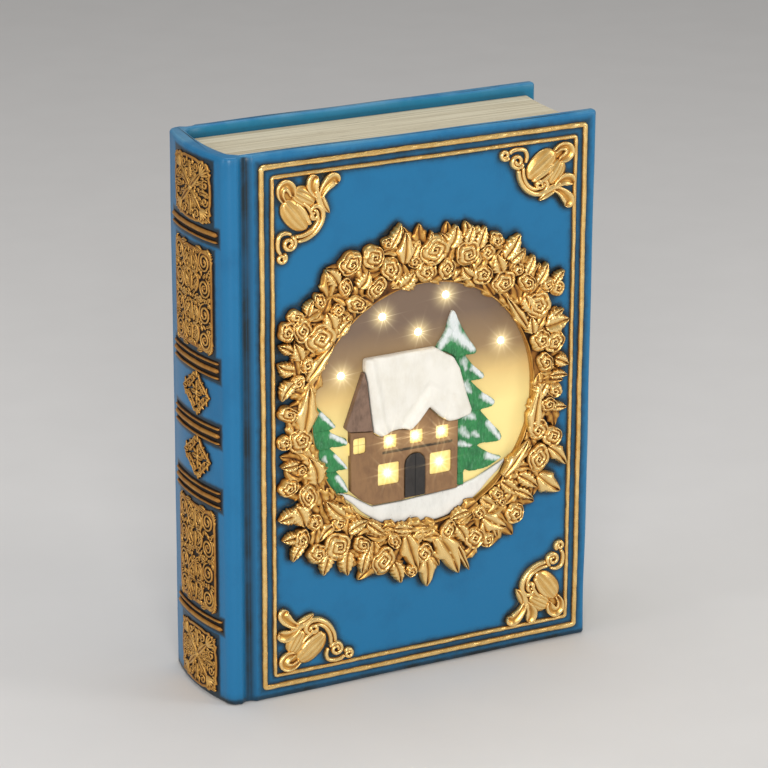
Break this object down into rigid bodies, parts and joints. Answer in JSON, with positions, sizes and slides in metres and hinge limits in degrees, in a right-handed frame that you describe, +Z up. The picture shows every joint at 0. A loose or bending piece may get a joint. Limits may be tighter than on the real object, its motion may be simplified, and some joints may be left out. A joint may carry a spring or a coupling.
{
  "type": "led_book_decoration",
  "caption": "Lighted storybook decoration: blue and gold closed book with a round window onto a snowy cottage, warm LEDs and a battery box in the back",
  "frame": {"origin": "middle of the book at its foot, where the boards stand on the shelf", "axes": "+X from the spine to the fore-edge, +Y from the front board to the back board, +Z up the book"},
  "size_m": [0.1825, 0.0624, 0.245],
  "materials": {
    "blue": "satin",
    "gold": "satin",
    "page": "matte",
    "snow": "matte",
    "sky": "matte",
    "brown": "matte",
    "dark_paint": "matte",
    "green": "matte",
    "pane": "satin",
    "led": "gloss",
    "circuit_board": "satin",
    "box_plastic": "satin",
    "cell_jacket": "gloss",
    "steel": "satin",
    "red_lead": "satin",
    "black_lead": "satin"
  },
  "bodies": {
    "book": {"book_case": "blue", "outer_gold_line": "gold", "inner_gold_line": "gold", "corner_ornament_spine_top": "gold", "corner_ornament_edge_top": "gold", "corner_ornament_edge_foot": "gold", "corner_ornament_spine_foot": "gold", "rose_wreath": "gold", "spine_panel_top": "gold", "spine_panel_foot": "gold", "spine_panel_upper": "gold", "spine_panel_lower": "gold", "spine_lozenge_upper": "gold", "spine_lozenge_lower": "gold", "spine_band_1": "gold", "spine_band_2": "gold", "spine_band_3": "gold", "spine_band_4": "gold", "spine_band_5": "gold", "page_block": "page", "snow_ground": "snow", "snow_roof": "snow", "sky_panel": "sky", "house_walls": "brown", "side_gable": "brown", "front_door": "dark_paint", "right_tree": "green", "left_tree": "green", "window_sheet": "pane", "led_1": "led", "led_2": "led", "led_3": "led", "led_4": "led", "led_5": "led", "led_6": "led", "led_7": "led", "led_8": "led", "led_9": "led", "led_10": "led", "led_board": "circuit_board", "battery_box": "box_plastic", "battery_1": "cell_jacket", "battery_2": "cell_jacket", "battery_3": "cell_jacket", "board_screw_1": "steel", "board_screw_2": "steel", "board_screw_3": "steel", "contact_minus": "steel", "contact_plus": "steel", "contact_bridge_1": "steel", "contact_bridge_2": "steel", "switch_body": "steel", "box_screw_1": "steel", "box_screw_2": "steel", "box_screw_3": "steel", "box_screw_4": "steel", "wire_plus": "red_lead", "wire_minus": "black_lead"},
    "battery_door": {"battery_door": "box_plastic"},
    "switch_slider": {"switch_slider": "black_lead"}
  },
  "joints": [
    {"name": "battery_door_hinge", "type": "hinge", "parent": "book", "child": "battery_door", "pos_m": [0, 0.03015, 0.0596], "axis": [-1, 0, 0], "range_deg": [0, 90]},
    {"name": "switch_slide", "type": "slide", "parent": "book", "child": "switch_slider", "axis": [-1, 0, 0], "range_m": [0, 0.004]}
  ]
}
